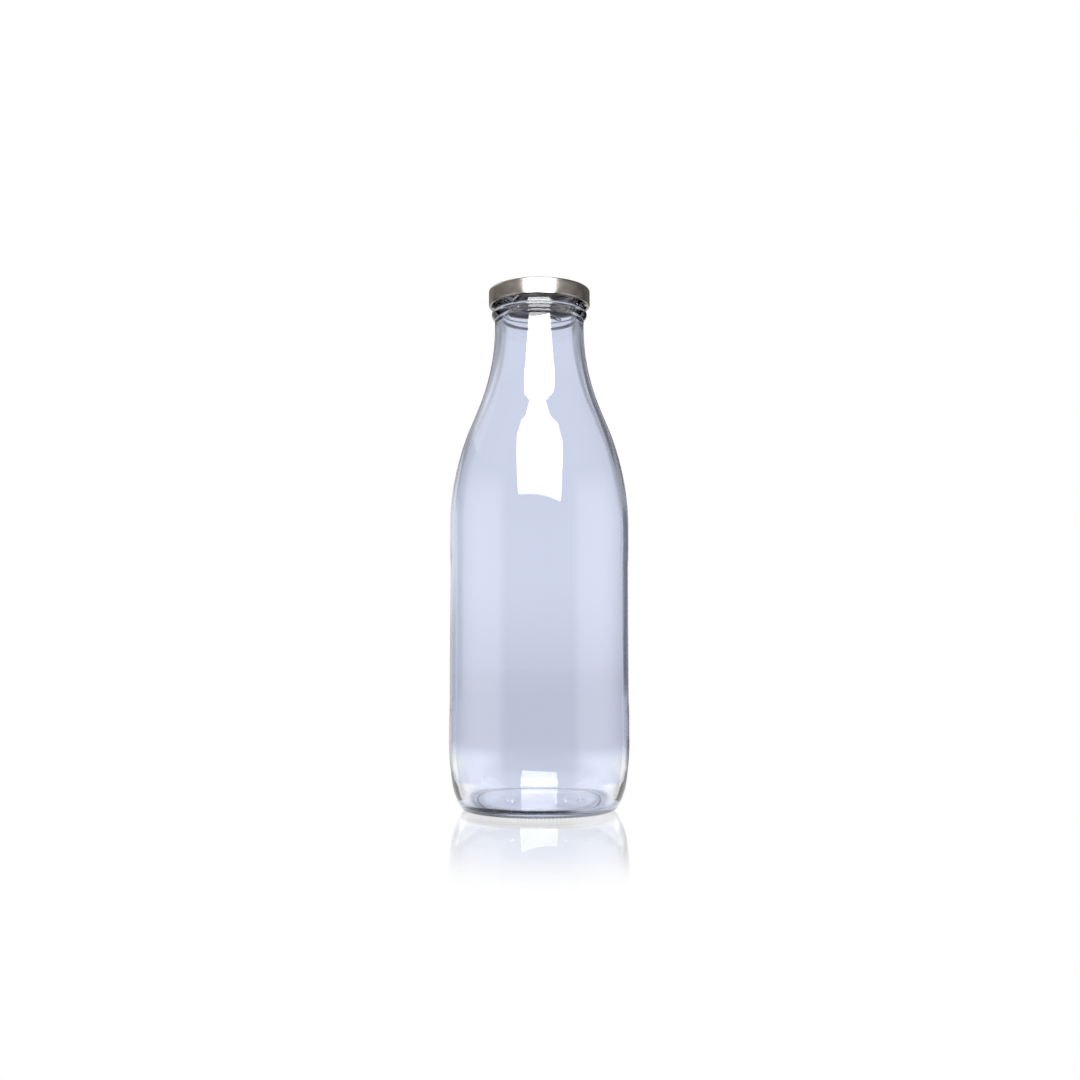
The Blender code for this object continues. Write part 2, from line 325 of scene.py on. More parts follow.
def bottle_inside():
    """The inner wall, from the floor's centre up to the top of the rim."""
    lower = heel(INNER_BODY_RADIUS, INNER_FLOOR_EDGE_Z, INNER_HEEL_ARCS)[::-1]
    upper = shoulder(INNER_BODY_RADIUS, INNER_SHOULDER_Z, INNER_SHOULDER_RADIUS,
                     INNER_CONE_LENGTH, BORE_RADIUS, 16)
    rim_centre_r = FINISH_RADIUS - RIM_OUTER_ROUND
    rim_round = rim_centre_r - BORE_RADIUS
    return join_up(
        dome(lower[0][0], INNER_FLOOR_EDGE_Z, INNER_FLOOR_CENTRE_Z, 14)[::-1],
        lower,
        line(lower[-1], (INNER_BODY_RADIUS, INNER_SHOULDER_Z), WALL_ROW),
        upper,
        line(upper[-1], (BORE_RADIUS, RIM_TOP_Z - rim_round), WALL_ROW),
        arc(rim_centre_r, RIM_TOP_Z - rim_round, rim_round, 180.0, 90.0, 8),
    )


def eased(share):
    """A share that leaves 0 and reaches 1 gently."""
    return share * share * (3.0 - 2.0 * share)


def bead_underside(steps):
    """Points down the bead's lower side, which runs smoothly into the neck."""
    points = []
    for index in range(steps + 1):
        share = index / steps
        points.append((BEAD_RADIUS + (NECK_RADIUS - BEAD_RADIUS) * eased(share),
                       BEAD_WAIST_Z + (BEAD_FOOT_Z - BEAD_WAIST_Z) * share))
    return points


def bottle_outside():
    """The outer wall, from the top of the rim down to the centre of the punt."""
    rim_centre_r = FINISH_RADIUS - RIM_OUTER_ROUND
    bead_centre_r = BEAD_RADIUS - BEAD_ROUND
    finish_foot = BEAD_TOP_Z + BEAD_FILLET
    lower = shoulder(SHOULDER_RADIUS, SHOULDER_CURVE_Z, SHOULDER_CURVE_RADIUS,
                     SHOULDER_CONE_LENGTH, NECK_RADIUS, 18)[::-1]
    foot = heel(BODY_RADIUS, 0.0, HEEL_ARCS)
    punt_top_r = BEARING_INNER_RADIUS - PUNT_FOOT_RADIUS - PUNT_TOP_RADIUS
    return join_up(
        arc(rim_centre_r, RIM_TOP_Z - RIM_OUTER_ROUND, RIM_OUTER_ROUND, 90.0, 0.0, 9),
        line((FINISH_RADIUS, RIM_TOP_Z - RIM_OUTER_ROUND), (FINISH_RADIUS, finish_foot), FINISH_ROW),
        arc(FINISH_RADIUS + BEAD_FILLET, finish_foot, BEAD_FILLET, 180.0, 270.0, 4),
        arc(bead_centre_r, BEAD_TOP_Z - BEAD_ROUND, BEAD_ROUND, 90.0, 0.0, 7),
        bead_underside(14),
        line((NECK_RADIUS, BEAD_FOOT_Z), lower[0], WALL_ROW),
        lower,
        line((SHOULDER_RADIUS, SHOULDER_CURVE_Z), (SHOULDER_RADIUS, SHOULDER_BOTTOM_Z), WALL_ROW),
        line((SHOULDER_RADIUS, SHOULDER_BOTTOM_Z), (LABEL_RADIUS, LABEL_TOP_Z), WALL_ROW),
        line((LABEL_RADIUS, LABEL_TOP_Z), (LABEL_RADIUS, LABEL_BOTTOM_Z), WALL_ROW),
        line((LABEL_RADIUS, LABEL_BOTTOM_Z), (BODY_RADIUS, HEEL_CONTACT_TOP_Z), WALL_ROW),
        line((BODY_RADIUS, HEEL_CONTACT_TOP_Z), foot[0], WALL_ROW),
        foot,
        line(foot[-1], (BEARING_INNER_RADIUS, 0.0), HEEL_ROW),
        arc(BEARING_INNER_RADIUS, PUNT_FOOT_RADIUS, PUNT_FOOT_RADIUS, -90.0, -180.0, 8),
        arc(punt_top_r, PUNT_WALL_HEIGHT - PUNT_TOP_RADIUS, PUNT_TOP_RADIUS, 0.0, 90.0, 8),
        dome(punt_top_r, PUNT_WALL_HEIGHT, PUNT_HEIGHT, 12),
    )


def lid_outline():
    """The lid's sheet: over the panel and skirt, round the curl and back inside."""
    corner_r = LID_RADIUS - LID_CORNER_RADIUS
    corner_z = LID_TOP_Z - LID_CORNER_RADIUS
    curl_r = LID_RADIUS - CURL_RADIUS
    panel_z = LID_TOP_Z - PANEL_DEPTH
    step_r = PANEL_RADIUS + PANEL_STEP_WIDTH
    under = LID_THICKNESS
    return join_up(
        line((0.0, panel_z), (PANEL_RADIUS, panel_z), PANEL_ROW),
        smooth_step_line((PANEL_RADIUS, panel_z), (step_r, LID_TOP_Z), 8),
        line((step_r, LID_TOP_Z), (corner_r, LID_TOP_Z), CHANNEL_ROW),
        arc(corner_r, corner_z, LID_CORNER_RADIUS, 90.0, 0.0, 10),
        line((LID_RADIUS, corner_z), (LID_RADIUS, CURL_CENTRE_Z), SKIRT_ROW),
        arc(curl_r, CURL_CENTRE_Z, CURL_RADIUS, 0.0, CURL_END_DEG, 26),
        arc(curl_r, CURL_CENTRE_Z, CURL_RADIUS - under, CURL_END_DEG, 0.0, 22),
        line((LID_RADIUS - under, CURL_CENTRE_Z), (LID_RADIUS - under, corner_z), SKIRT_ROW),
        arc(corner_r, corner_z, LID_CORNER_RADIUS - under, 0.0, 90.0, 8),
        line((corner_r, LID_TOP_Z - under), (step_r, LID_TOP_Z - under), CHANNEL_ROW),
        smooth_step_line((step_r, LID_TOP_Z - under), (PANEL_RADIUS, panel_z - under), 8),
        line((PANEL_RADIUS, panel_z - under), (0.0, panel_z - under), PANEL_ROW),
    )


def smooth_step_line(start, end, steps):
    """Points from start to end that leave and arrive level, as a pressed step in sheet does."""
    points = []
    for index in range(steps + 1):
        share = index / steps
        points.append((start[0] + (end[0] - start[0]) * share,
                       start[1] + (end[1] - start[1]) * eased(share)))
    return points


def gasket_outline():
    """The sealing ring's closed outline, from its outer top corner downwards."""
    top_z = LID_TOP_Z - LID_THICKNESS - FIT_GAP
    bottom_z = RIM_TOP_Z + FIT_GAP
    outer_r = GASKET_OUTER_RADIUS - GASKET_ROUND
    inner_r = GASKET_INNER_RADIUS + GASKET_ROUND
    return join_up(
        arc(outer_r, top_z - GASKET_ROUND, GASKET_ROUND, 90.0, 0.0, 5),
        arc(outer_r, bottom_z + GASKET_ROUND, GASKET_ROUND, 0.0, -90.0, 5),
        line((outer_r, bottom_z), (inner_r, bottom_z), GASKET_FOOT_ROW),
        arc(inner_r, bottom_z + GASKET_ROUND, GASKET_ROUND, -90.0, -180.0, 5),
        arc(inner_r, top_z - GASKET_ROUND, GASKET_ROUND, 180.0, 90.0, 5),
        line((inner_r, top_z), (outer_r, top_z), GASKET_TOP_ROW)[:-1],
    )


# ---------------------------------------------------------------- relief

def smoothstep(low, high, value):
    """0 below low, 1 above high and a smooth rise between. High may be the lower number."""
    return eased(np.clip((value - low) / (high - low), 0.0, 1.0))


def band(value, start, full, fade, end):
    """0 outside start and end, 1 from full to fade, with smooth slopes between."""
    return smoothstep(start, full, value) * smoothstep(end, fade, value)


def bump(distance, half_width):
    """A round bump: 1 where the distance is nil and 0 beyond the half width."""
    share = np.clip(np.abs(distance) / half_width, 0.0, 1.0)
    return 0.5 + 0.5 * np.cos(math.pi * share)


def wrapped(angle):
    """The angle between -pi and pi."""
    return (angle + math.pi) % math.tau - math.pi


def lead_angles():
    """The start angle of each thread lead, evenly spaced."""
    return [FIRST_LEAD_ANGLE + math.tau * index / LEAD_COUNT for index in range(LEAD_COUNT)]


def distance_to_segment(u, v, start, end):
    """The distance from points (u, v) to a straight segment, and the share along it."""
    du = end[0] - start[0]
    dv = end[1] - start[1]
    share = ((u - start[0]) * du + (v - start[1]) * dv) / (du * du + dv * dv)
    share = np.clip(share, 0.0, 1.0)
    return np.hypot(u - start[0] - share * du, v - start[1] - share * dv), share


def thread_relief(angle, z):
    """How far the thread leads stand out of the finish wall."""
    helix_rise = LEAD_PER_TURN * LEAD_ARC / math.tau
    stop_start = (-LEAD_STOP_ARC * FINISH_RADIUS, LEAD_STOP_BOTTOM_Z)
    lead_start = (0.0, LEAD_START_Z)
    lead_end = (LEAD_ARC * FINISH_RADIUS, LEAD_START_Z + helix_rise)
    relief = np.zeros(np.broadcast(angle, z).shape)
    for start_angle in lead_angles():
        middle = start_angle + (LEAD_ARC - LEAD_STOP_ARC) / 2.0
        along = (wrapped(angle - middle) + middle - start_angle) * FINISH_RADIUS
        to_stop, _ = distance_to_segment(along, z, stop_start, lead_start)
        to_helix, share = distance_to_segment(along, z, lead_start, lead_end)
        fade = smoothstep(1.0, 1.0 - LEAD_FADE_ARC / LEAD_ARC, share)
        lead = np.maximum(bump(to_stop, LEAD_HALF_WIDTH), bump(to_helix, LEAD_HALF_WIDTH) * fade)
        relief = np.maximum(relief, LEAD_HEIGHT * lead)
    return relief


def dot_relief(angle, z):
    """The heel's dot code, a row of small round dots with gaps."""
    relief = np.zeros(np.broadcast(angle, z).shape)
    for index, mark in enumerate(DOT_CODE):
        if mark == "0":
            continue
        along = wrapped(angle - DOT_FIRST_ANGLE - index * DOT_SPACING) * BODY_RADIUS
        relief = np.maximum(relief, DOT_HEIGHT * bump(np.hypot(along, z - DOT_Z), DOT_RADIUS))
    return relief


def seam_relief(angle, r):
    """Two fine mould seams, on opposite sides."""
    relief = 0.0
    for seam_angle in SEAM_ANGLES:
        relief = relief + SEAM_HEIGHT * bump(wrapped(angle - seam_angle) * r, SEAM_HALF_WIDTH)
    return relief


def wave_relief(angle, z, seed):
    """The slow unevenness of blown glass, as a few crossing waves."""
    relief = 0.0
    for turns, rise, phase in WAVES:
        relief = relief + np.sin(turns * angle + rise * z + phase * seed) / (turns + 1.0)
    return WAVE_HEIGHT * relief


def inside_relief(angle, r, z):
    """Relief of the inner wall, strongest on the body and nil at the floor's centre, neck and rim."""
    body = smoothstep(INNER_WAVE_START_RADIUS, INNER_WAVE_FULL_RADIUS, r)
    body = body * smoothstep(RIM_TOP_Z, RIM_TOP_Z - INNER_WAVE_TOP_FADE, z)
    return INNER_WAVE_SHARE * wave_relief(angle, z, 1.0) * body


def outside_relief(angle, r, z):
    """Relief of the outer wall: threads, seams, dots, knurl and a faint unevenness.

    The seams and the unevenness are sunk, so that they stay within the plain outline.
    """
    finish = band(z, BEAD_TOP_Z, BEAD_TOP_Z + FINISH_FOOT_FADE,
                  RIM_TOP_Z - RIM_OUTER_ROUND, RIM_TOP_Z - FINISH_TOP_GAP)
    relief = thread_relief(angle, z) * finish
    sides = band(z, OUTER_WAVE_START_Z, OUTER_WAVE_FULL_Z,
                 BEAD_FOOT_Z - OUTER_WAVE_TOP_FADE, BEAD_FOOT_Z)
    relief = relief + (seam_relief(angle, r) + wave_relief(angle, z, 2.0) * OUTER_WAVE_SHARE) * sides
    relief = relief - (WAVE_HEIGHT + SEAM_HEIGHT) * sides
    relief = relief + dot_relief(angle, z) * smoothstep(DOT_WALL_RADIUS, DOT_WALL_RADIUS + DOT_WALL_FADE, r)
    foot = smoothstep(KNURL_TOP_Z, KNURL_TOP_Z * 0.3, z)
    foot = foot * smoothstep(KNURL_START_RADIUS, KNURL_FULL_RADIUS, r)
    notch = smoothstep(0.15, 0.6, np.cos(KNURL_COUNT * angle))
    return relief - KNURL_DEPTH * notch * foot


# ---------------------------------------------------------------- meshes

def outline_normals(outline, closed):
    """The unit normals (r, z) of an outline that runs with its solid on its right."""
    points = np.array(outline)
    if closed:
        along = np.roll(points, -1, axis=0) - np.roll(points, 1, axis=0)
    else:
        along = np.gradient(points, axis=0)
    along /= np.linalg.norm(along, axis=1)[:, None]
    return np.stack([-along[:, 1], along[:, 0]], axis=1)


def column_angles(columns):
    """The angle of each column, as one row."""
    return (np.arange(columns) * math.tau / columns)[None, :]


def turned_mesh(name, rows_r, rows_z, closed):
    """A mesh from rows of rings: r and z hold one number for each row and column.

    An open outline starts and ends on the axis, where its first and last rings become points.
    """
    rows, columns = rows_r.shape
    angles = column_angles(columns)
    x = rows_r * np.cos(angles)
    y = rows_r * np.sin(angles)
    grid = np.stack([x, y, np.broadcast_to(rows_z, x.shape)], axis=2).reshape(-1, 3)
    column = np.arange(columns)
    after = (column + 1) % columns
    last_row = rows if closed else rows - 1
    faces = []
    for row in range(last_row):
        here = row * columns
        there = ((row + 1) % rows) * columns
        if not closed and row == 0:
            quads = [here + 0 * column, there + column, there + after]
        elif not closed and row == rows - 2:
            quads = [here + column, there + 0 * column, here + after]
        else:
            quads = [here + column, there + column, there + after, here + after]
        faces += np.stack(quads, axis=1).tolist()
    mesh = bpy.data.meshes.new(name)
    mesh.from_pydata(grid.tolist(), [], faces)
    remove_loose_points(mesh)
    mesh.shade_smooth()
    return mesh


def remove_loose_points(mesh):
    """Remove the points of the axis rings that no face uses."""
    work = bmesh.new()
    work.from_mesh(mesh)
    loose = [vertex for vertex in work.verts if not vertex.link_faces]
    bmesh.ops.delete(work, geom=loose, context="VERTS")
    work.to_mesh(mesh)
    work.free()


def new_piece(name, mesh, material, body, node):
    """An object that rides on a CAD body and stands for a CAD node."""
    piece = bpy.data.objects.new(name, mesh)
    bpy.context.scene.collection.objects.link(piece)
    mesh.materials.append(material)
    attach(piece, body)
    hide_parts(node)
    return piece


def displaced(outline, relief, closed):
    """The rows of an outline moved along its normals by the relief."""
    points = np.array(outline)
    normals = outline_normals(outline, closed)
    rows_r = points[:, 0][:, None] + normals[:, 0][:, None] * relief
    rows_z = points[:, 1][:, None] + normals[:, 1][:, None] * relief
    return rows_r, rows_z


def make_bottle():
    """The glass bottle, with its relief inside and out."""
    inside = bottle_inside()
    outside = bottle_outside()[1:]
    angles = column_angles(BOTTLE_COLUMNS)
    inner = np.array(inside)
    outer = np.array(outside)
    relief = np.concatenate([
        inside_relief(angles, inner[:, 0][:, None], inner[:, 1][:, None]),
        outside_relief(angles, outer[:, 0][:, None], outer[:, 1][:, None]),
    ])
    rows_r, rows_z = displaced(inside + outside, relief, False)
    mesh = turned_mesh("glass_bottle", rows_r, rows_z, False)
    return new_piece("glass_bottle", mesh, glass_material(), "bottle", "bottle")


def make_lid():
    """The tinplate lid. At each lug the inner side of the curl is pressed inwards and flat."""
    outline = np.array(lid_outline())
    angles = column_angles(LID_COLUMNS)
    r = outline[:, 0][:, None]
    z = outline[:, 1][:, None]
    curl_r = LID_RADIUS - CURL_RADIUS
    in_curl = (z < CURL_CENTRE_Z + CURL_RADIUS + 0.0001) & (r < LID_RADIUS - LID_THICKNESS * 0.5)
    inwards = smoothstep(curl_r + CURL_RADIUS * 0.4, curl_r - CURL_RADIUS * 0.6, r) * in_curl
    press = np.zeros((1, LID_COLUMNS))
    for start_angle in lead_angles():
        away = np.abs(wrapped(angles - start_angle - LUG_ANGLE_AFTER_START))
        press = np.maximum(press, smoothstep(LUG_HALF_ARC, LUG_HALF_ARC * LUG_FULL_SHARE, away))
    push = inwards * press
    rows_r = r - LUG_REACH * push
    rows_z = z + (LUG_Z + (z - CURL_CENTRE_Z) * LUG_FLATTEN - z) * push
    mesh = turned_mesh("twist_off_lid", rows_r, rows_z, False)
    add_lacquer_and_painted_shade(mesh)
    return new_piece("twist_off_lid", mesh, tinplate_material(), "lid", "lid")


def add_lacquer_and_painted_shade(mesh):
    """Mark the sheet's inner side, which has dark lacquer, and the curl's downward-facing underside with a
    LacquerAndShade attribute; the dark colour there is partly painted shade.
    """
    lacquer_and_shade = mesh.attributes.new("LacquerAndShade", "FLOAT", "POINT")
    normals = np.zeros(len(mesh.vertices) * 3)
    mesh.vertex_normals.foreach_get("vector", normals)
    points = np.zeros(len(mesh.vertices) * 3)
    mesh.vertices.foreach_get("co", points)
    normals = normals.reshape(-1, 3)
    points = points.reshape(-1, 3)
    r = np.hypot(points[:, 0], points[:, 1])
    within_skirt = r < LID_RADIUS - LID_THICKNESS * 0.5
    # Painted shade: the curl's downward-facing faces get the dark inner colour, and upward-facing faces
    # keep the bright colour.
    inside = within_skirt | ((points[:, 2] < CURL_CENTRE_Z) & (normals[:, 2] < -0.15))
    inside = inside & (normals[:, 2] < 0.5)
    lacquer_and_shade.data.foreach_set("value", inside.astype(float))


def make_gasket():
    """The sealing ring, with the shallow groove that the rim presses into it."""
    outline = gasket_outline()
    points = np.array(outline)
    angles = column_angles(GASKET_COLUMNS)
    r = points[:, 0][:, None]
    z = points[:, 1][:, None]
    underside = smoothstep(RIM_TOP_Z + 2.0 * FIT_GAP, RIM_TOP_Z + FIT_GAP, z)
    relief = -GROOVE_DEPTH * bump(r - GROOVE_RADIUS, GROOVE_HALF_WIDTH) * underside
    mottle = 1.0 + np.sin(MOTTLE_TURNS * angles + MOTTLE_TWIST * r)
    relief = relief - MOTTLE_DEPTH * mottle * underside
    rows_r, rows_z = displaced(outline, relief, True)
    mesh = turned_mesh("sealing_ring", rows_r, rows_z, True)
    return new_piece("sealing_ring", mesh, plastisol_material(), "gasket", "gasket")


# ---------------------------------------------------------------- materials

def new_material(name):
    """A material with a Principled shader, and its node tree."""
    material = bpy.data.materials.new(name)
    material.use_nodes = True
    tree = material.node_tree
    return material, tree, tree.nodes["Principled BSDF"]


def noise(tree, scale, detail, stretch=(1.0, 1.0, 1.0)):
    """A noise texture in the object's own metres, stretched along its axes."""
    place = tree.nodes.new("ShaderNodeTexCoord")
    mapping = tree.nodes.new("ShaderNodeMapping")
    mapping.inputs["Scale"].default_value = stretch
    texture = tree.nodes.new("ShaderNodeTexNoise")
    texture.inputs["Scale"].default_value = scale
    texture.inputs["Detail"].default_value = detail
    tree.links.new(place.outputs["Object"], mapping.inputs["Vector"])
    tree.links.new(mapping.outputs["Vector"], texture.inputs["Vector"])
    return texture.outputs["Fac"]


def remap(tree, value, low, high, to_low, to_high, interpolation="LINEAR"):
    """A value spread over another range."""
    node = tree.nodes.new("ShaderNodeMapRange")
    node.interpolation_type = interpolation
    node.inputs["From Min"].default_value = low
    node.inputs["From Max"].default_value = high
    node.inputs["To Min"].default_value = to_low
    node.inputs["To Max"].default_value = to_high
    tree.links.new(value, node.inputs["Value"])
    return node.outputs["Result"]


def blend_colours(tree, value, low_colour, high_colour):
    """A colour between two others, chosen by a value from 0 to 1."""
    node = tree.nodes.new("ShaderNodeMix")
    node.data_type = "RGBA"
    node.inputs["A"].default_value = (*low_colour, 1.0)
    node.inputs["B"].default_value = (*high_colour, 1.0)
    tree.links.new(value, node.inputs["Factor"])
    return node.outputs["Result"]


def bump_from(tree, height, distance, strength=1.0):
    """A bump of that depth in metres, from a height value."""
    node = tree.nodes.new("ShaderNodeBump")
    node.inputs["Strength"].default_value = strength
    node.inputs["Distance"].default_value = distance
    tree.links.new(height, node.inputs["Height"])
    return node.outputs["Normal"]


def math_node(tree, operation, first, second):
    """Two values joined by an operation such as ADD or MULTIPLY."""
    node = tree.nodes.new("ShaderNodeMath")
    node.operation = operation
    tree.links.new(first, node.inputs[0])
    tree.links.new(second, node.inputs[1])
    return node.outputs["Value"]


def height_above_foot(tree):
    """The object's own Z, which starts at the bottle's foot."""
    place = tree.nodes.new("ShaderNodeTexCoord")
    split = tree.nodes.new("ShaderNodeSeparateXYZ")
    tree.links.new(place.outputs["Object"], split.inputs["Vector"])
    return split.outputs["Z"]


def distance_from_axis(tree, narrowing=1.0):
    """The distance of a level surface's points from the object's axis, with X counted so many times."""
    place = tree.nodes.new("ShaderNodeTexCoord")
    mapping = tree.nodes.new("ShaderNodeMapping")
    mapping.inputs["Scale"].default_value = (narrowing, 1.0, 1.0)
    length = tree.nodes.new("ShaderNodeVectorMath")
    length.operation = "LENGTH"
    tree.links.new(place.outputs["Object"], mapping.inputs["Vector"])
    tree.links.new(mapping.outputs["Vector"], length.inputs[0])
    return length.outputs["Value"]


def glass_material():
    """Clear soda-lime glass with a faint blue cast and a slightly uneven polish."""
    material, tree, shader = new_material("clear_glass")
    shader.inputs["Transmission Weight"].default_value = 1.0
    shader.inputs["IOR"].default_value = 1.52
    tint = blend_colours(tree, noise(tree, 30.0, 2.0), (0.985, 0.990, 1.0), (1.0, 1.0, 1.0))
    tree.links.new(tint, shader.inputs["Base Color"])
    polish = remap(tree, noise(tree, 90.0, 3.0), 0.3, 0.7, 0.0, 0.012)
    height = height_above_foot(tree)
    stipple = remap(tree, height, KNURL_TOP_Z, KNURL_TOP_Z + 0.0003, STIPPLE_ROUGHNESS, 0.0)
    tree.links.new(math_node(tree, "ADD", polish, stipple), shader.inputs["Roughness"])
    ripple = bump_from(tree, noise(tree, 55.0, 1.0, (1.0, 1.0, 0.35)), 0.00008)
    tree.links.new(ripple, shader.inputs["Normal"])
    absorption = tree.nodes.new("ShaderNodeVolumeAbsorption")
    absorption.inputs["Color"].default_value = (0.80, 0.88, 1.0, 1.0)
    absorption.inputs["Density"].default_value = 6.0
    tree.links.new(absorption.outputs["Volume"], tree.nodes["Material Output"].inputs["Volume"])
    return material


def tinplate_material():
    """Tinplate with rolling lines along X and faint clouds, clear-lacquered outside, dark inside and under
    the curl, where the dark lacquer colour is partly painted shade.
    """
    material, tree, shader = new_material("tinplate")
    shader.inputs["Metallic"].default_value = 1.0
    lines = noise(tree, 260.0, 3.0, (0.06, 1.0, 1.0))
    clouds = noise(tree, 120.0, 4.0)
    bright = blend_colours(tree, clouds, (0.64, 0.595, 0.555), (0.72, 0.68, 0.645))
    # Dark lacquer colour, partly painted shade: it also darkens the curl's downward-facing underside.
    lacquer_and_shade_colour = blend_colours(tree, clouds, (0.17, 0.145, 0.125), (0.22, 0.19, 0.165))
    lacquer_and_shade_mask = tree.nodes.new("ShaderNodeAttribute")
    lacquer_and_shade_mask.attribute_name = "LacquerAndShade"
    colour = tree.nodes.new("ShaderNodeMix")
    colour.data_type = "RGBA"
    tree.links.new(lacquer_and_shade_mask.outputs["Fac"], colour.inputs["Factor"])
    tree.links.new(bright, colour.inputs["A"])
    tree.links.new(lacquer_and_shade_colour, colour.inputs["B"])
    tree.links.new(colour.outputs["Result"], shader.inputs["Base Color"])
    roughness = remap(tree, lines, 0.3, 0.7, 0.19, 0.26)
    tree.links.new(roughness, shader.inputs["Roughness"])
    tree.links.new(bump_from(tree, lines, 0.000004), shader.inputs["Normal"])
    shader.inputs["Coat Weight"].default_value = 0.25
    shader.inputs["Coat Roughness"].default_value = 0.08
    return material


def plastisol_material():
    """The soft, off-white sealing compound, slightly mottled."""
    material, tree, shader = new_material("plastisol")
    mottle = noise(tree, 700.0, 3.0)
    colour = blend_colours(tree, mottle, (0.76, 0.745, 0.71), (0.84, 0.83, 0.80))
    tree.links.new(colour, shader.inputs["Base Color"])
    tree.links.new(remap(tree, mottle, 0.3, 0.7, 0.42, 0.6), shader.inputs["Roughness"])
    tree.links.new(bump_from(tree, mottle, 0.00002), shader.inputs["Normal"])
    shader.inputs["Subsurface Weight"].default_value = 0.15
    shader.inputs["Subsurface Radius"].default_value = (0.001, 0.0008, 0.0006)
    return material


# ---------------------------------------------------------------- studio

def emission_material(name):
    """A material with an Emission shader, and its node tree."""
    material = bpy.data.materials.new(name)
    material.use_nodes = True
    tree = material.node_tree
    tree.nodes.clear()
    output = tree.nodes.new("ShaderNodeOutputMaterial")
    emission = tree.nodes.new("ShaderNodeEmission")
    tree.links.new(emission.outputs["Emission"], output.inputs["Surface"])
    return material, tree, emission


def glow_material(name):
    """A glowing material whose colour is the mesh's own Glow attribute."""
    material, tree, emission = emission_material(name)
    glow = tree.nodes.new("ShaderNodeAttribute")
    glow.attribute_name = "Glow"
    tree.links.new(glow.outputs["Color"], emission.inputs["Color"])
    material.cycles.emission_sampling = "NONE"
    return material


def stage_object(name, mesh, camera, glossy, transmission, diffuse):
    """A staged object that only some rays see."""
    obj = bpy.data.objects.new(name, mesh)
    bpy.context.scene.collection.objects.link(obj)
    obj.visible_camera = camera
    obj.visible_glossy = glossy
    obj.visible_transmission = transmission
    obj.visible_diffuse = diffuse
    obj.visible_shadow = False


def glow_grid(name, points, colours):
    """A grid mesh that glows with a colour at each point. Both arrays are (rows, columns, 3)."""
    rows, columns = points.shape[:2]
    faces = []
    for row in range(rows - 1):
        for column in range(columns - 1):
            first = row * columns + column
            faces.append((first, first + 1, first + columns + 1, first + columns))
    mesh = bpy.data.meshes.new(name)
    mesh.from_pydata(points.reshape(-1, 3).tolist(), [], faces)
    glow = mesh.attributes.new("Glow", "FLOAT_COLOR", "POINT")
    rgba = np.concatenate([colours.reshape(-1, 3), np.ones((rows * columns, 1))], axis=1)
    glow.data.foreach_set("color", rgba.ravel())
    mesh.materials.append(glow_material(name))
    return mesh


def mix(low, high, share):
    """Between two colours, for an array of shares."""
    share = np.asarray(share)[..., None]
    return np.asarray(low) * (1.0 - share) + np.asarray(high) * share


def seen_through_glass(azimuth, elevation):
    """What the glass refracts: a lavender backdrop with grey screens and a level that varies.

    Angles are in degrees. Azimuth 0 is behind the bottle, and 90 to its right.
    """
    side = np.abs(azimuth)
    near_left = band(azimuth, -38.0, -32.0, -14.0, 0.0)
    upper = np.maximum(
        smoothstep(9.0, 13.0, elevation - 8.5 * near_left),
        smoothstep(16.0, 19.0, elevation),
    )
    upper = upper * smoothstep(28.0, 22.0, elevation)
    colour = mix(LAVENDER, SLATE, upper * band(side, 14.0, 20.0, 50.0, 60.0))
    high_right = band(elevation, 17.0, 20.0, 26.0, 30.0) * band(azimuth, 13.0, 18.0, 34.0, 40.0)
    colour = mix(colour, SLATE * 0.5, high_right)
    level = 1.0 - 0.19 * smoothstep(5.0, -3.5, elevation)
    level = level + 0.06 * smoothstep(-14.0, -23.0, elevation)
    level = level + 0.12 * smoothstep(-23.0, -45.0, elevation)
    right_screen = band(azimuth, 14.0, 24.0, 38.0, 44.0) * band(elevation, -5.5, -1.0, 9.0, 13.0)
    left_screen = band(azimuth, -60.0, -50.0, -29.0, -22.0) * band(elevation, -5.5, -3.0, 1.0, 8.0)
    left_glow = band(azimuth, -38.0, -32.0, -21.0, -15.0) * band(elevation, 3.0, 9.0, 11.0, 22.0)
    level = level * (1.0 - 0.65 * right_screen - 0.12 * left_screen + 0.08 * left_glow)
    return colour * level[..., None]


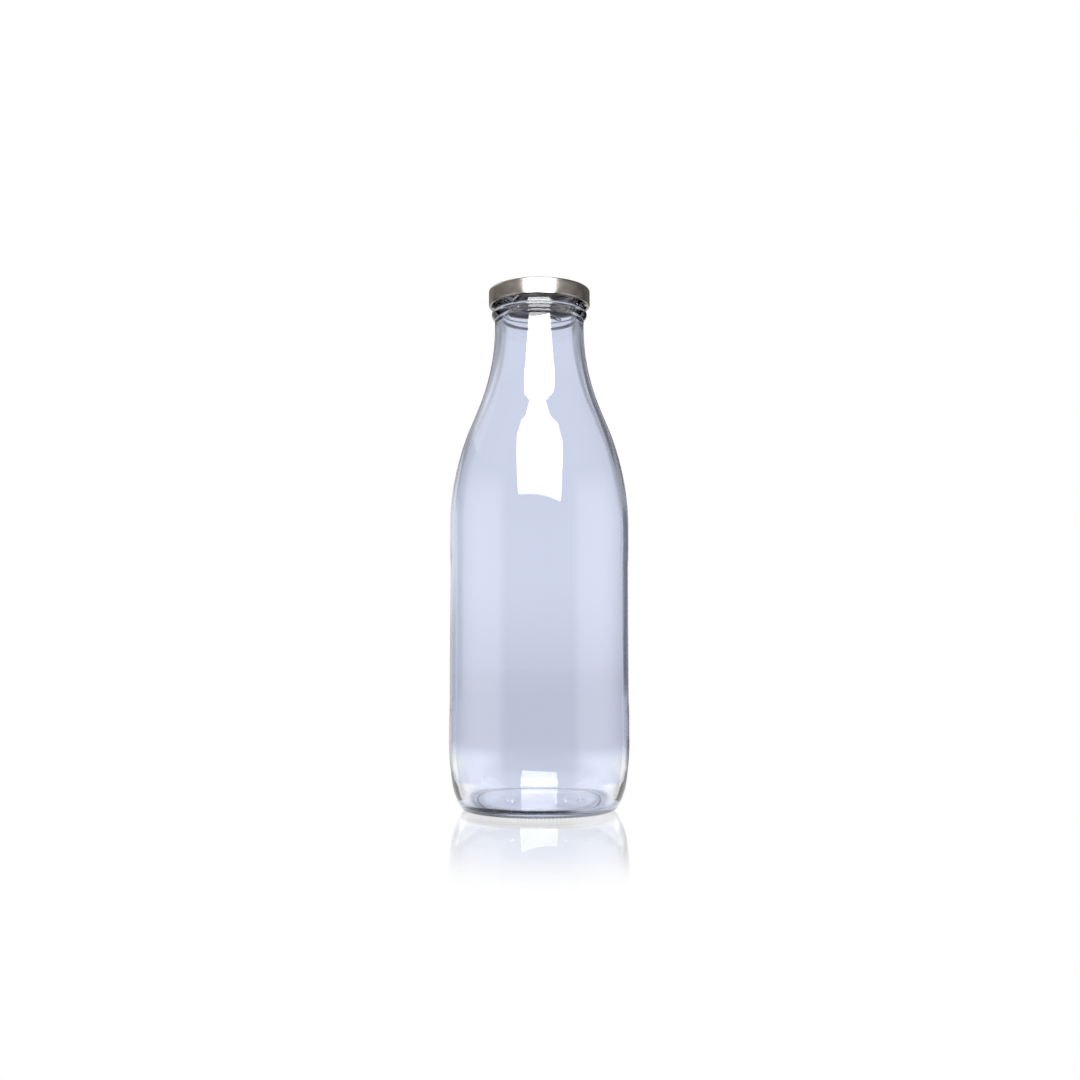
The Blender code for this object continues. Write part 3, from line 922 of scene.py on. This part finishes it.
def seen_in_reflections(azimuth, elevation):
    """What the glass and the metal mirror: a taupe room with white cards and dark screens.

    The angles are those of seen_through_glass, and front is the angle from the camera's side.
    """
    front = 180.0 - np.abs(azimuth)
    left_side = smoothstep(0.0, -20.0, azimuth)
    low_wall = smoothstep(12.0, 4.0, elevation - 5.0 * left_side) * smoothstep(-18.0, -8.0, elevation)
    colour = mix(TAUPE, WHITE * 0.7, low_wall)
    left_cards = band(elevation, 20.0, 27.0, 56.0, 64.0) + band(elevation, -12.0, -6.0, 8.0, 14.0)
    left_cards = left_cards * band(azimuth, -85.0, -65.0, -30.0, -18.0)
    colour = mix(colour, WHITE * 0.95, left_cards)
    under_softbox = smoothstep(56.0, 38.0, front) * smoothstep(60.0, 40.0, elevation)
    colour = mix(colour, DARK, under_softbox)
    backdrop = smoothstep(160.0, 165.0, front) * smoothstep(16.0, 12.0, elevation)
    colour = mix(colour, WHITE, backdrop)
    right_screen = band(azimuth, 12.0, 22.0, 42.0, 50.0) * band(elevation, -9.0, -4.0, 8.0, 12.0)
    colour = mix(colour, DARK, right_screen)
    left_screen = 0.3 * smoothstep(16.0, 8.0, elevation) + 0.6 * smoothstep(5.0, 1.0, elevation)
    left_screen = left_screen * smoothstep(-9.0, -5.0, elevation)
    left_screen = left_screen * band(azimuth, -50.0, -45.0, -32.0, -27.0)
    colour = mix(colour, SLATE * 0.6, left_screen)
    table = smoothstep(110.0, 130.0, front) * band(elevation, -80.0, -65.0, -12.0, -6.0)
    colour = mix(colour, WHITE, table)
    far_right = band(azimuth, 15.0, 25.0, 90.0, 130.0) * smoothstep(8.0, 12.0, elevation)
    colour = colour * (1.0 - 0.4 * far_right)[..., None]
    ceiling = smoothstep(64.0, 74.0, elevation)
    return mix(colour, LAVENDER, ceiling)


def side_card_glow(azimuth):
    """The glow of the white cards beside the set, strongest a little in front of its sides."""
    front = 180.0 - np.abs(azimuth)
    return WHITE * (CARD_STRENGTH * band(front, CARD_FROM, 54.0, 72.0, CARD_TO))[..., None]


def make_side_cards():
    """Two tall curved white cards, left and right, that only reflections see."""
    for side, name in ((-1.0, "card_left"), (1.0, "card_right")):
        azimuth = side * np.linspace(180.0 - CARD_TO, 180.0 - CARD_FROM, CARD_COLUMNS)[None, :]
        height = np.linspace(CARD_BOTTOM_Z, CARD_TOP_Z, CARD_ROWS)[:, None]
        azimuth, height = np.broadcast_arrays(azimuth, height)
        turn = np.radians(azimuth)
        points = np.stack([CARD_DISTANCE * np.sin(turn), CARD_DISTANCE * np.cos(turn), height], axis=2)
        fade = smoothstep(CARD_TOP_Z, CARD_TOP_Z - CARD_FADE, height)[..., None]
        colours = side_card_glow(azimuth) * fade
        mesh = glow_grid(name, points, colours)
        stage_object(name, mesh, camera=False, glossy=True, transmission=False, diffuse=False)


def make_dome(name, radius, colour_of, reflected):
    """A glowing globe round the studio, coloured by a function of direction.

    It is seen in reflections only, or else by all the other rays but the camera's.
    """
    azimuth = np.linspace(-180.0, 180.0, DOME_COLUMNS)[None, :]
    elevation = np.linspace(-90.0, 90.0, DOME_ROWS)[:, None]
    azimuth, elevation = np.broadcast_arrays(azimuth, elevation)
    turn = np.radians(azimuth)
    rise = np.radians(elevation)
    points = radius * np.stack([
        np.sin(turn) * np.cos(rise),
        np.cos(turn) * np.cos(rise),
        np.sin(rise),
    ], axis=2)
    mesh = glow_grid(name, points, colour_of(azimuth, elevation))
    stage_object(name, mesh, camera=False, glossy=reflected, transmission=not reflected,
                 diffuse=not reflected)


def floor_glow(x, y):
    """The floor as the glass sees it.

    It goes on from the dome, with painted pools of light to the left and right of the bottle
    and a painted contact shadow, a dark crescent under the front of its foot, which fades out to the right.
    """
    radius = np.hypot(x, y)
    side = np.abs(x)
    azimuth = np.degrees(np.arctan2(x, y))
    elevation = -np.degrees(np.arctan(FLOOR_EYE_Z / np.maximum(radius, 0.001)))
    colour = seen_through_glass(azimuth, elevation)
    # Painted pools of light on the floor to the left and right of the bottle.
    painted_light_beside = smoothstep(0.025, 0.048, side) * smoothstep(0.29, 0.18, radius)
    colour = mix(colour, LAVENDER * 1.1, painted_light_beside)
    painted_light_far = smoothstep(0.055, 0.085, side) * smoothstep(0.24, 0.12, radius)
    colour = mix(colour, WHITE, painted_light_far)
    painted_light_near = smoothstep(0.034, 0.046, side) * smoothstep(0.070, 0.055, radius)
    colour = mix(colour, WHITE * 1.1, painted_light_near)
    # Painted contact shadow: a dark ring under the front of the foot, fading out to the right.
    painted_contact_shadow = band(radius, 0.0270, 0.0290, 0.0368, 0.0395)
    painted_contact_shadow = painted_contact_shadow * smoothstep(0.0, -0.014, y) * smoothstep(0.026, 0.010, x)
    return mix(colour, DARK, painted_contact_shadow)


def make_glass_floor():
    """The floor as it is seen through the glass, which lights dull surfaces too: a disc of rings."""
    fine = np.linspace(0.0, FINE_FLOOR_RADIUS, FINE_FLOOR_RINGS)
    coarse = np.linspace(COARSE_FLOOR_RADIUS, FLOOR_RADIUS, COARSE_FLOOR_RINGS)
    radius = np.concatenate([fine, coarse])[:, None]
    turn = np.linspace(0.0, math.tau, FLOOR_SPOKES)[None, :]
    radius, turn = np.broadcast_arrays(radius, turn)
    points = np.stack([radius * np.cos(turn), radius * np.sin(turn),
                       np.full_like(radius, -2.0 * FLOOR_DROP)], axis=2)
    mesh = glow_grid("floor_in_glass", points, floor_glow(points[..., 0], points[..., 1]))
    stage_object("floor_in_glass", mesh, camera=False, glossy=False, transmission=True, diffuse=True)


def white_floor_material():
    """An even white glow under a mirror that fades away from the bottle and is weaker at its foot."""
    material, tree, white = emission_material("white_floor")
    fade = remap(tree, distance_from_axis(tree, MIRROR_NARROWING), MIRROR_FADE_START, MIRROR_FADE_END,
                 MIRROR_STRENGTH, 0.0, "SMOOTHSTEP")
    near_foot = remap(tree, distance_from_axis(tree), MIRROR_FOOT_START, MIRROR_FOOT_END,
                      MIRROR_FOOT_SHARE, 1.0)
    fresnel = tree.nodes.new("ShaderNodeFresnel")
    fresnel.inputs["IOR"].default_value = 1.5
    faded = math_node(tree, "MULTIPLY", fade, fresnel.outputs["Fac"])
    mirror = tree.nodes.new("ShaderNodeBsdfGlossy")
    mirror.inputs["Color"].default_value = (1.0, 1.0, 1.0, 1.0)
    mirror.inputs["Roughness"].default_value = 0.02
    blend = tree.nodes.new("ShaderNodeMixShader")
    tree.links.new(math_node(tree, "MULTIPLY", faded, near_foot), blend.inputs["Fac"])
    tree.links.new(white.outputs["Emission"], blend.inputs[1])
    tree.links.new(mirror.outputs["BSDF"], blend.inputs[2])
    tree.links.new(blend.outputs["Shader"], tree.nodes["Material Output"].inputs["Surface"])
    material.cycles.emission_sampling = "NONE"
    return material


def make_white_floor():
    """The white floor that the camera sees, a disc."""
    ring = []
    for index in range(WHITE_FLOOR_CORNERS):
        turn = math.tau * index / WHITE_FLOOR_CORNERS
        ring.append((FLOOR_RADIUS * math.cos(turn), FLOOR_RADIUS * math.sin(turn), -FLOOR_DROP))
    mesh = bpy.data.meshes.new("white_floor")
    mesh.from_pydata(ring, [], [list(range(len(ring)))])
    mesh.materials.append(white_floor_material())
    stage_object("white_floor", mesh, camera=True, glossy=False, transmission=False, diffuse=False)


def make_softbox():
    """The main light: a panel that leans over the bottle from the front, its upper corners cut."""
    cut = SOFTBOX_CUT_SHARE
    points = []
    for side, share in ((-1.0, 0.0), (1.0, 0.0), (1.0, cut), (cut, 1.0), (-cut, 1.0), (-1.0, cut)):
        points.append((
            side * SOFTBOX_HALF_WIDTH,
            SOFTBOX_BOTTOM_Y + (SOFTBOX_TOP_Y - SOFTBOX_BOTTOM_Y) * share,
            SOFTBOX_BOTTOM_Z + (SOFTBOX_TOP_Z - SOFTBOX_BOTTOM_Z) * share - SOFTBOX_ROLL * side,
        ))
    mesh = bpy.data.meshes.new("softbox")
    mesh.from_pydata(points, [], [list(range(len(points)))])
    material, _, emission = emission_material("softbox")
    emission.inputs["Strength"].default_value = SOFTBOX_STRENGTH
    mesh.materials.append(material)
    stage_object("softbox", mesh, camera=False, glossy=True, transmission=True, diffuse=True)


def make_world():
    """A plain white background, which only the camera sees past the domes."""
    world = bpy.data.worlds.new("white_studio")
    world.use_nodes = True
    background = world.node_tree.nodes["Background"]
    background.inputs["Color"].default_value = (1.0, 1.0, 1.0, 1.0)
    background.inputs["Strength"].default_value = 1.0
    bpy.context.scene.world = world


def make_camera():
    """The camera in front of the bottle."""
    data = bpy.data.cameras.new("camera")
    data.lens = CAMERA_LENS
    data.sensor_width = CAMERA_SENSOR
    data.shift_x = CAMERA_SHIFT_X
    data.clip_start = 0.01
    camera = bpy.data.objects.new("camera", data)
    camera.location = (0.0, -CAMERA_DISTANCE, CAMERA_HEIGHT)
    camera.rotation_euler = (math.pi / 2.0 + CAMERA_PITCH, 0.0, 0.0)
    bpy.context.scene.collection.objects.link(camera)
    bpy.context.scene.camera = camera


def make_studio():
    """The camera, the lights, the domes and the floors, shown without a tone curve."""
    make_camera()
    make_world()
    make_softbox()
    make_dome("dome_in_glass", DOME_RADIUS, seen_through_glass, reflected=False)
    make_dome("dome_in_reflections", OUTER_DOME_RADIUS, seen_in_reflections, reflected=True)
    make_side_cards()
    make_glass_floor()
    make_white_floor()
    bpy.context.scene.view_settings.view_transform = "Standard"


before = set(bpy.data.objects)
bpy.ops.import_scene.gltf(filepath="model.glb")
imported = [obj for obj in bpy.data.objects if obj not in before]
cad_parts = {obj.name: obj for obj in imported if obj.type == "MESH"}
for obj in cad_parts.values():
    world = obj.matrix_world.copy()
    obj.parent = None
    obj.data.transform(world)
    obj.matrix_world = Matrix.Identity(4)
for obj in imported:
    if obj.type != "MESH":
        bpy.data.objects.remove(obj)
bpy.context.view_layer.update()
make_studio()
make_bottle()
make_gasket()
make_lid()
